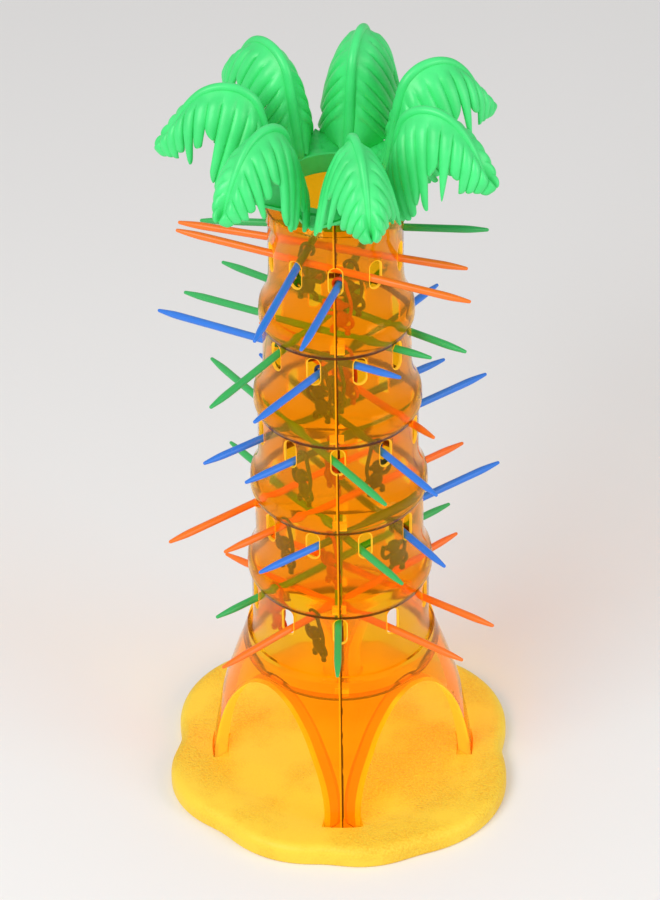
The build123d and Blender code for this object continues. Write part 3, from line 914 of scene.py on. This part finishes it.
def skirt_line(inset):
    """The wall line of the skirt and its legs, moved in by an inset."""
    top_radius = lip_radius(tier_count - 1) - bead_proud
    top = lip_height(tier_count - 1) + skirt_top_above_lip
    knots = [(top_radius + (foot_radius - top_radius) * out - inset, foot_height + (top - foot_height) * up)
             for out, up in skirt_shares]
    return section_line(knots, skirt_steps, skirt_start_slope, skirt_end_slope)


def wall_ring(make_line, outer, inner, steps):
    """The wall between two insets of a line, turned round the axis, as a part."""
    return turned_ring(make_line(outer) + list(reversed(make_line(inner))), steps)


def arch_outline(extra):
    """The outline of an arch in the skirt, wider by an extra distance."""
    low = foot_height - extra - socket_gap
    half, rise = arch_half_width + extra, arch_height + extra
    knots = [(half * out, base_height + rise * up) for out, up in arch_outline_shares]
    knots += [(-x, z) for x, z in reversed(knots[:-1])]
    return section_line(knots, arch_steps, (0, 1), (0, -1)) + [(-half, low), (half, low)]


def slot_outline(tier, rim):
    """The outline of a slot of one bell, wider by a rim."""
    outline = []
    half = slot_width / 2 + rim
    rise = (slot_height - slot_width) / 2
    for way in (1, -1):
        for k in range(slot_end_steps + 1):
            turn = math.pi * k / slot_end_steps
            height = slot_centre(tier) + way * (rise + half * math.sin(turn))
            outline.append((way * half * math.cos(turn), height))
    return outline


def marked(mesh, look):
    """The mesh with every face in one of the trunk's materials."""
    mesh.polygons.foreach_set("material_index", [look] * len(mesh.polygons))
    return mesh


def trunk_tool(part, materials, look):
    """A mesh of a part that knows all the trunk's materials, with every face in one of them."""
    mesh = finished_mesh("tool", *part)
    for material in materials:
        mesh.materials.append(material)
    return marked(mesh, look)


def side_box(low_x, high_x, wall):
    """A box as tall as the trunk between two places across the seam, as a part."""
    outline = box_outline(low_x, high_x, 0, neck_top + shoulder_rise + wall)
    return prism(outline, 0, -well_outside, well_outside)


def clip_tab(tier, side, angle, wall):
    """The tab that reaches across a seam behind a lip, as a part."""
    inner = lip_radius(tier) - wall
    face = math.sqrt(inner ** 2 - tab_reach ** 2) - tab_clearance
    back = face - tab_thickness
    root = face + tab_clearance + wall / 2
    corners = ((-tab_reach, back), (-tab_reach, face), (seam_gap / 2, face), (seam_gap / 2, root),
               (tab_length, root), (tab_length, back))
    low = lip_height(tier) - tab_height / 2
    turn = Matrix.Rotation(angle, 3, "Z")
    verts = [turn @ Vector((side * across, -out, low + rise))
             for rise in (0, tab_height) for across, out in corners]
    return verts, pushed_faces(len(corners))


def shade_steps(mesh):
    """Gives the thick steps under the lips the dark material of painted shade."""
    for face in mesh.polygons:
        radius, height = face.center.xy.length, face.center.z
        for tier in range(tier_count):
            top = lip_height(tier) - bead_below
            in_step = top - step_height < height < top and radius < lip_radius(tier)
            if in_step and face.material_index == wall_look:
                face.material_index = painted_shade_look


def seam_strip(settings, materials, outer_share, inner_share, low_x, high_x):
    """The part of the wall near the seam, between two shares of its thickness, front and back, in the dark
    material of painted shade.
    """
    outer, inner = settings.wall * outer_share, settings.wall * inner_share
    strips = []
    for make_line in (whole_line, skirt_line):
        ring = trunk_tool(wall_ring(make_line, outer, inner, settings.steps), materials, painted_glow_edge_look)
        box = trunk_tool(side_box(low_x, high_x, settings.wall), materials, painted_glow_edge_look)
        strips.append(marked(carved(ring, box, "INTERSECT"), painted_shade_look))
    return carved(*strips, "UNION")


def slot_cutters(settings, materials, rim, depth):
    """The cutters of all slots, wider by a rim, from a depth inside each bell's waist."""
    parts = []
    for tier in range(tier_count):
        for slot in range(slots_per_tier):
            turn = math.tau * (slot + (0.5 if tier % 2 else 0)) / slots_per_tier
            near, far = waist_radius(tier) - depth, lip_radius(tier) + settings.wall
            parts.append(prism(slot_outline(tier, rim), turn, near, far))
    return trunk_tool(merged(parts), materials, painted_glow_edge_look)


def trunk_meshes(settings, materials):
    """The left and right half of the trunk."""
    wall = settings.wall
    shell, skirt, flange_zone = (
        trunk_tool(wall_ring(make_line, 0, depth, settings.steps), materials, wall_look)
        for make_line, depth in ((whole_line, wall), (skirt_line, wall), (skirt_line, leg_flange)))
    angles = [math.tau * (leg + 0.5) / leg_count for leg in range(leg_count)]
    reach = foot_radius + wall
    for angle in angles:
        opening = trunk_tool(prism(arch_outline(0), angle, 0, reach), materials, painted_glow_edge_look)
        skirt = carved(skirt, opening, "DIFFERENCE")
    for angle in angles:
        flange = trunk_tool(prism(arch_outline(wall), angle, wall, reach), materials, wall_look)
        opening = trunk_tool(prism(arch_outline(0), angle, 0, reach + wall), materials, painted_glow_edge_look)
        flange = carved(carved(flange, opening, "DIFFERENCE"), flange_zone, "INTERSECT")
        skirt = carved(skirt, flange, "UNION")
    shell = carved(shell, skirt, "UNION")
    slots = slot_cutters(settings, materials, 0, slot_width)
    # The ledges round the slots, whose cut faces take the edge material with its painted glow
    ledges = slot_cutters(settings, materials, slot_rim_width, slot_rim_depth)
    shell = carved(carved(shell, slots, "DIFFERENCE"), ledges, "DIFFERENCE")
    # The tongue carries the painted shade of a dark seam line into the right half; the groove's cut faces
    # glow as painted highlight
    tongue = seam_strip(settings, materials, tongue_share, 1.0, -tongue_half_width, seam_gap)
    tongue = carved(tongue, slots, "DIFFERENCE")
    groove = seam_strip(settings, materials, tongue_share - tongue_play_share, 1.0 + tongue_share,
                        -tongue_half_width - seam_gap / 4, seam_gap)
    marked(groove, painted_glow_edge_look)
    halves = []
    for side in (-1, 1):
        low_x, high_x = sorted((side * seam_gap / 2, side * well_outside))
        keep = trunk_tool(side_box(low_x, high_x, wall), materials, painted_glow_edge_look)
        half = carved(shell, keep, "INTERSECT")
        half = carved(half, tongue, "UNION") if side > 0 else carved(half, groove, "DIFFERENCE")
        # Each half gets its clip tabs in the glowing edge material, a painted highlight
        for tier in range(tier_count):
            for angle in (0, math.pi):
                owner = 1 if (tier % 2 == 0) == (angle == 0) else -1
                if owner == side:
                    tab = clip_tab(tier, side if angle == 0 else -side, angle, wall)
                    half = carved(half, trunk_tool(tab, materials, painted_glow_edge_look), "UNION")
        shade_steps(half)
        halves.append(smoothed(half, trunk_sharp))
    return halves


class TREEGAME_OT_trunk(bpy.types.Operator):
    """Make the two clear halves of the trunk with their slots, lips, clips and legs"""
    bl_idname = "treegame.trunk"
    bl_label = "Clear Trunk"

    def execute(self, context):
        settings = context.scene.treegame_trunk
        clear = clear_material("clear orange plastic", settings.clear, settings.polish, settings.see_through,
                               clear_amount)
        edge = clear_material("cut edge of clear orange", settings.edge, cut_roughness, edge_see_through,
                              edge_amount)
        # Painted highlight: the cut edges emit their own yellow colour, though they are no lamp
        shader = edge.node_tree.nodes["Principled BSDF"]
        shader.inputs["Emission Color"].default_value = (*settings.edge, 1)
        shader.inputs["Emission Strength"].default_value = settings.edge_glow
        # Painted shade: a dark material for the steps under the lips and for the seam
        step = clear_material("shaded step of clear orange", settings.step, cut_roughness, step_see_through,
                              step_amount)
        left, right = trunk_meshes(settings, (clear, step, edge))
        add_piece("trunk_left", left, "tree", ("trunk_half_left",))
        add_piece("trunk_right", right, "tree", ("trunk_half_right",))
        return {"FINISHED"}


# Palm crown

def frond_place(out, up, side):
    """The place at shares of a leaf's reach, rise and half width."""
    reach = frond_foot_radius + out * frond_reach
    return Vector((side * frond_half_width, -reach, collar_top + up * frond_rise))


def midrib_line():
    knots = [frond_place(out, up, 0) for out, up in frond_line_shares]
    return even_line(smooth_line(knots, leaf_line_steps, midrib_start_way, midrib_end_way), leaf_line_points)


def blade_edge(side):
    knots = [frond_place(out, up, side * reach) for out, up, reach in blade_edge_shares]
    return even_line(smooth_line(knots, leaf_line_steps), leaf_line_points)


def rib_group(settings, stalk, edge, side, rows, opened):
    """Neighbouring ribs as one sheet, as a part. A row has the shares of the midrib and the edge where a rib
    starts and ends, its length at both sides and how far it bulges. opened tells how far the group's first
    and last edge draw back from the next group."""
    columns = []
    for number, (root_a, root_b, edge_a, edge_b, long_a, long_b, bulge) in enumerate(rows):
        for j in range(1 if number else 0, rib_wide_steps + 1):
            w = j / rib_wide_steps
            size = long_a + (long_b - long_a) * w - rib_corner_cut * abs(2 * w - 1) ** 3
            if j == rib_wide_steps and number + 1 < len(rows):
                size = min(size, rows[number + 1][4] - rib_corner_cut)
            columns.append((root_a + (root_b - root_a) * w, edge_a + (edge_b - edge_a) * w, size, w, bulge))
    widths = columns[-1][1] - columns[0][1]
    top, low = [], []
    last = len(columns) - 1
    for k, (root_share, edge_share, size, w, bulge) in enumerate(columns):
        root, way = at_share(stalk, root_share)
        start = rib_start + rib_start_round * (1 - math.sqrt(max(0.0, 1 - (2 * w - 1) ** 2)))
        for i in range(rib_long_steps + 1):
            along = i / rib_long_steps
            v = along * size
            parting = max(0.0, v - slit_start) / (1 - slit_start) * widths / len(rows) / 2
            drawn = (opened[0] * (1 - k / last) - opened[1] * k / last) * parting
            tip, _ = at_share(edge, edge_share + drawn)
            span = tip - root
            outward = way.cross(span.normalized()).normalized() * side
            arch = math.sin(math.pi * min(1.0, v) ** bow_lean)
            rise = min(1.0, max(0.0, v - start) / rib_rise)
            swell = bulge * math.sqrt(max(0.0, math.sin(math.pi * w))) * math.sin(rise * math.pi / 2)
            swell *= settings.rib_height
            near_end = max(0.0, (along - rib_end) / (1 - rib_end))
            end = math.sqrt(max(0.0, 1 - near_end ** 2 * rib_end_thinning))
            half = settings.sheet / 2 * end
            point = root + span * v + outward * (settings.bow * arch + swell * end)
            top.append(point + outward * half)
            low.append(point - outward * (half + swell * rib_under_share))
    return sheet_part(top, low, rib_long_steps + 1)


def blade_parts(settings, stalk, side):
    """The groups of ribs of one side of a leaf, with its flat web at the foot."""
    ends = rib_end_shares[0 if side > 0 else 1]
    edge = blade_edge(side)
    root_step = (blade_end_share - web_root_share) / len(ends)
    edge_step = (1 - web_edge_share) / len(ends)
    groups = [[(blade_start_share, web_root_share, 0.0, web_edge_share, 1.0, 1.0, 0.0)]]
    opened = [0.0]
    for number, (long_a, long_b, slit) in enumerate(ends):
        if slit:
            groups.append([])
            opened.append(slit)
        groups[-1].append((web_root_share + root_step * number, web_root_share + root_step * (number + 1),
                           web_edge_share + edge_step * number, web_edge_share + edge_step * (number + 1),
                           long_a, long_b, 1.0))
    opened.append(0.0)
    return [rib_group(settings, stalk, edge, side, rows, opened[i:i + 2]) for i, rows in enumerate(groups)]


def frond_mesh(settings):
    """One long palm leaf that stands at the front: its stalk and the ribs at both sides."""
    stalk = midrib_line()
    last = len(stalk) - 1
    thinning = settings.tip_radius - settings.midrib_radius
    radii = [settings.midrib_radius + thinning * i / last for i in range(last + 1)]
    radii[-1] *= stalk_tip_share
    parts = [tube(stalk, radii, stalk_sides, up=Vector((1, 0, 0)))]
    for side in (-1, 1):
        parts += blade_parts(settings, stalk, side)
    return finished_mesh("frond", *merged(parts), leaf_sharp)


def leaflet_part(settings, turn):
    """A small leaf of the collar with a raised middle vein and side veins, as a part."""
    root = ring_radius - 2 * settings.sheet
    reach = leaflet_tip_radius - root
    tilt = Matrix.Rotation(leaflet_tilt, 3, "X")
    spin = Matrix.Rotation(turn, 3, "Z")
    flip = Matrix.Rotation(math.pi, 3, "Z")
    shift = Vector((0, -root, rim_top - 2 * leaflet_thickness))
    top, low = [], []
    for i in range(leaflet_steps + 1):
        v = i / leaflet_steps
        half = leaflet_half_width * max(leaflet_tip_share, 1 - v ** leaflet_taper)
        for j in range(leaflet_steps + 1):
            u = 2 * j / leaflet_steps - 1
            vein = max(0.0, 1 - abs(u) * half / vein_height)
            ribs = 0.5 + 0.5 * math.cos((v * side_vein_count - abs(u) * side_vein_slant) * math.pi)
            lift = vein_height * vein * (1 - v) + side_vein_height * ribs * (1 - vein) * (1 - u * u)
            for points, height in ((top, leaflet_thickness + lift), (low, 0)):
                points.append(spin @ (shift + flip @ (tilt @ Vector((u * half, v * reach, height)))))
    return sheet_part(top, low, leaflet_steps + 1)


def collar_mesh(settings):
    """The collar's sloping ring with its seven small leaves."""
    low, edge = neck_top + shoulder_rise, collar_edge
    inner = shoulder_radius - 2 * settings.sheet
    outline = [
        (inner, neck_top), (rim_radius + edge, neck_top), (rim_radius, neck_top + edge),
        (rim_radius, rim_top - edge), (rim_radius + edge, rim_top), (shoulder_radius, rim_top - edge / 2),
        (ring_radius - edge, low + edge * 2), (ring_radius, low), (ring_radius - edge, low - edge),
        (shoulder_radius, low + edge / 2), (inner, low),
    ]
    turns = [first_frond_angle + math.tau * (number + 0.5) / frond_count for number in range(frond_count)]
    parts = [turned_ring(outline, collar_steps)] + [leaflet_part(settings, turn) for turn in turns]
    return finished_mesh("collar", *merged(parts), collar_sharp)


class TREEGAME_OT_crown(bpy.types.Operator):
    """Make the green collar with its small leaves and the seven long palm leaves"""
    bl_idname = "treegame.crown"
    bl_label = "Palm Crown"

    def execute(self, context):
        settings = context.scene.treegame_crown
        leaf = skin_material("palm green plastic", settings.leaf, settings.shade, leaf_skin)
        add_piece("palm_collar", painted(collar_mesh(settings), leaf), "tree", ("crown_collar",))
        mesh = painted(frond_mesh(settings), leaf)
        for number in range(frond_count):
            turn = Matrix.Rotation(first_frond_angle + math.tau * number / frond_count, 4, "Z")
            add_piece(f"palm_leaf_{number + 1}", mesh, "tree", (f"frond_{number + 1}",), turn)
        return {"FINISHED"}


# Sticks

def stick_mesh(settings, size):
    """A rod along +Z whose ends taper to a rounded blunt tip."""
    tip, radius = settings.tip_radius, settings.radius
    rings = []
    for k in range(1, stick_tip_steps + 1):
        turn = math.pi / 2 * k / stick_tip_steps
        rings.append((tip * math.sin(turn), tip * (1 - math.cos(turn))))
    for k in range(1, stick_taper_steps + 1):
        along = k / stick_taper_steps
        wider = (radius - tip) * math.sin(along * math.pi / 2)
        rings.append((tip + wider, tip + (settings.taper - tip) * along))
    rings += [(r, size - z) for r, z in reversed(rings)]
    verts = [Vector((0, 0, 0))]
    for r, z in rings:
        for k in range(stick_sides):
            turn = math.tau * k / stick_sides
            verts.append(Vector((r * math.cos(turn), r * math.sin(turn), z)))
    faces = [(0, 1 + (k + 1) % stick_sides, 1 + k) for k in range(stick_sides)]
    faces += band_faces(len(rings), stick_sides, 1)
    start = len(verts) - stick_sides
    faces += [(start + k, start + (k + 1) % stick_sides, len(verts)) for k in range(stick_sides)]
    verts.append(Vector((0, 0, size)))
    return finished_mesh("stick", verts, faces, stick_sharp)


def stick_place(joint):
    """The place of a stick that runs along its joint's axis from the low end of its node, and its length."""
    way = Vector(joint["axis"]).normalized()
    turn = way.to_track_quat("Z", "Y").to_matrix()
    side, top = turn.col[0], turn.col[1]
    points = [v.co for v in frame["nodes"][joint["child"]].data.vertices]

    def spread(direction):
        values = [p.dot(direction) for p in points]
        return min(values), max(values)

    low, high = spread(way)
    start = way * low + side * (sum(spread(side)) / 2) + top * (sum(spread(top)) / 2)
    return Matrix.Translation(start) @ turn.to_4x4(), high - low


def dyed(mesh, settings, paint, kind, shade, skin):
    """The mesh in plastic of a colour of its settings, with a second colour that is darker by a share."""
    main = getattr(settings, paint)
    deep = [part * shade for part in main]
    return painted(mesh, skin_material(f"{paint} {kind} plastic", main, deep, skin))


class TREEGAME_OT_sticks(bpy.types.Operator):
    """Make the 25 loose sticks, each along its own slide"""
    bl_idname = "treegame.sticks"
    bl_label = "Sticks"

    def execute(self, context):
        settings = context.scene.treegame_sticks
        meshes = {}
        for joint, paint, number in loose_joints("stick"):
            body = joint["child"]
            matrix, size = stick_place(joint)
            if paint not in meshes:
                rod = stick_mesh(settings, size)
                meshes[paint] = dyed(rod, settings, paint, "stick", stick_shade, stick_skin)
            add_piece(f"rod_{paint}_{number}", meshes[paint], body, (body,), matrix)
        return {"FINISHED"}


# Monkeys

def figure_mesh(settings):
    """A small monkey that hangs by its curled tail, sculpted as one skin."""
    hook, tail = settings.hook_radius, settings.tail_radius
    line = []
    for k in range(hook_steps + 1):
        turn = math.radians(hook_start + hook_sweep * k / hook_steps)
        line.append(Vector((hook * math.cos(turn), hook * math.sin(turn), 0)))
    knots = [line[-1]] + [Vector((*knot, 0)) for knot in tail_knots]
    line += smooth_line(knots, tail_steps, tail_start_way, tail_end_way)[1:]
    radii = [tail * hook_tip_share] + [tail] * (len(line) - 1)
    parts = [tube(line, radii, limb_sides, tail_depth_share)]
    for knots, radius, depth_share, end, sizes in limbs:
        limb = smooth_line([Vector((*knot, 0)) for knot in knots], limb_steps)
        parts += [tube(limb, [radius] * len(limb), limb_sides, depth_share), ball((*end, 0), sizes)]
    parts += [ball((*centre, 0), sizes, steps) for centre, sizes, steps in body_balls]
    for face in (-1, 1):
        parts += [ball((x, y, face * z), sizes) for (x, y, z), sizes in face_balls]

    def sculpt(passing):
        skin = passing.modifiers.new("skin", "REMESH")
        skin.mode = "VOXEL"
        skin.voxel_size = settings.voxel
        skin.use_smooth_shade = True
        soft = passing.modifiers.new("soft", "SMOOTH")
        soft.factor = soft_factor
        soft.iterations = soft_passes

    return applied(finished_mesh("figure", *merged(parts)), sculpt)


def figure_matrix(joint):
    """The place of a figure whose hook turns about its joint's axis and which hangs straight down."""
    axis = Vector(joint["axis"]).normalized()
    side = Vector((0, 0, 1)).cross(axis).normalized()
    turn = Matrix((side, axis.cross(side), axis)).transposed()
    return Matrix.Translation(joint["pos_m"]) @ turn.to_4x4()


class TREEGAME_OT_monkeys(bpy.types.Operator):
    """Make the small monkeys that hang on the sticks inside the trunk"""
    bl_idname = "treegame.monkeys"
    bl_label = "Monkeys"

    def execute(self, context):
        settings = context.scene.treegame_monkeys
        shape = figure_mesh(settings)
        meshes = {}
        for joint, paint, number in loose_joints("monkey"):
            body = joint["child"]
            if paint not in meshes:
                meshes[paint] = dyed(shape.copy(), settings, paint, "monkey", monkey_shade, monkey_skin)
            add_piece(f"figure_{paint}_{number}", meshes[paint], body, (body,),
                      figure_matrix(joint))
        return {"FINISHED"}


# Stage

def soft_lamp(name, placing, power):
    """A wide lamp that points at the tree's middle."""
    place, width, depth = placing
    lamp = bpy.data.lights.new(name, "AREA")
    lamp.shape = "RECTANGLE"
    lamp.size = width
    lamp.size_y = depth
    lamp.energy = power
    holder = bpy.data.objects.new(name, lamp)
    holder.location = place
    aim = Vector((0, 0, neck_top / 2)) - Vector(place)
    holder.rotation_euler = aim.to_track_quat("-Z", "Y").to_euler()
    bpy.context.scene.collection.objects.link(holder)


class TREEGAME_OT_stage(bpy.types.Operator):
    """Set up the pale floor, the soft studio light and the camera"""
    bl_idname = "treegame.stage"
    bl_label = "Stage"

    def execute(self, context):
        scene, settings = context.scene, context.scene.treegame_stage
        half = settings.floor_size / 2
        corners = [(-half, -half, 0), (half, -half, 0), (half, half, 0), (-half, half, 0)]
        shade = [part * floor_shade for part in settings.floor]
        floor_mesh = painted(finished_mesh("floor", corners, [(0, 1, 2, 3)]),
                             skin_material("pale floor", settings.floor, shade, floor_skin))
        floor = bpy.data.objects.new("floor", floor_mesh)
        scene.collection.objects.link(floor)
        world = bpy.data.worlds.new("studio")
        scene.world = world
        world.use_nodes = True
        world.node_tree.nodes["Background"].inputs["Color"].default_value = (1, 1, 1, 1)
        world.node_tree.nodes["Background"].inputs["Strength"].default_value = settings.sky
        soft_lamp("key_lamp", key_lamp, settings.key_power)
        soft_lamp("fill_lamp", fill_lamp, settings.fill_power)
        lens = bpy.data.cameras.new("camera")
        lens.sensor_width = film_width
        lens.lens = focal_pixels / frame_pixels * film_width
        lens.clip_end = settings.floor_size * 2
        camera = bpy.data.objects.new("camera", lens)
        turn = Matrix.Rotation(camera_turn, 4, "Z") @ Matrix.Rotation(camera_pitch, 4, "X")
        camera.matrix_world = Matrix.Translation(camera_place) @ turn @ Matrix.Rotation(camera_roll, 4, "Z")
        scene.collection.objects.link(camera)
        scene.camera = camera
        scene.view_settings.view_transform = "Standard"
        return {"FINISHED"}


class TREEGAME_PT_pieces(bpy.types.Panel):
    """Buttons and sizes of the tree game"""
    bl_idname = "TREEGAME_PT_pieces"
    bl_label = "Balancing Tree Game"
    bl_space_type = "VIEW_3D"
    bl_region_type = "UI"
    bl_category = "Tree Game"

    def draw(self, context):
        for operator, settings, _ in makers:
            column = self.layout.box().column(align=True)
            column.operator(operator.bl_idname)
            group = getattr(context.scene, settings)
            for name in group.__annotations__:
                column.prop(group, name)


makers = (
    (TREEGAME_OT_stage, "treegame_stage", StageSettings),
    (TREEGAME_OT_sand_base, "treegame_sand", SandSettings),
    (TREEGAME_OT_trunk, "treegame_trunk", TrunkSettings),
    (TREEGAME_OT_crown, "treegame_crown", CrownSettings),
    (TREEGAME_OT_sticks, "treegame_sticks", StickSettings),
    (TREEGAME_OT_monkeys, "treegame_monkeys", MonkeySettings),
)


def register():
    for operator, name, group in makers:
        bpy.utils.register_class(group)
        setattr(bpy.types.Scene, name, PointerProperty(type=group))
        bpy.utils.register_class(operator)
    bpy.utils.register_class(TREEGAME_PT_pieces)


def unregister():
    bpy.utils.unregister_class(TREEGAME_PT_pieces)
    for operator, name, group in reversed(makers):
        bpy.utils.unregister_class(operator)
        delattr(bpy.types.Scene, name)
        bpy.utils.unregister_class(group)


def main():
    register()
    bpy.ops.treegame.stage()
    bpy.ops.treegame.sand_base()
    bpy.ops.treegame.trunk()
    bpy.ops.treegame.crown()
    bpy.ops.treegame.sticks()
    bpy.ops.treegame.monkeys()
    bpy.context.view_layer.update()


if __name__ == "__main__":
    main()
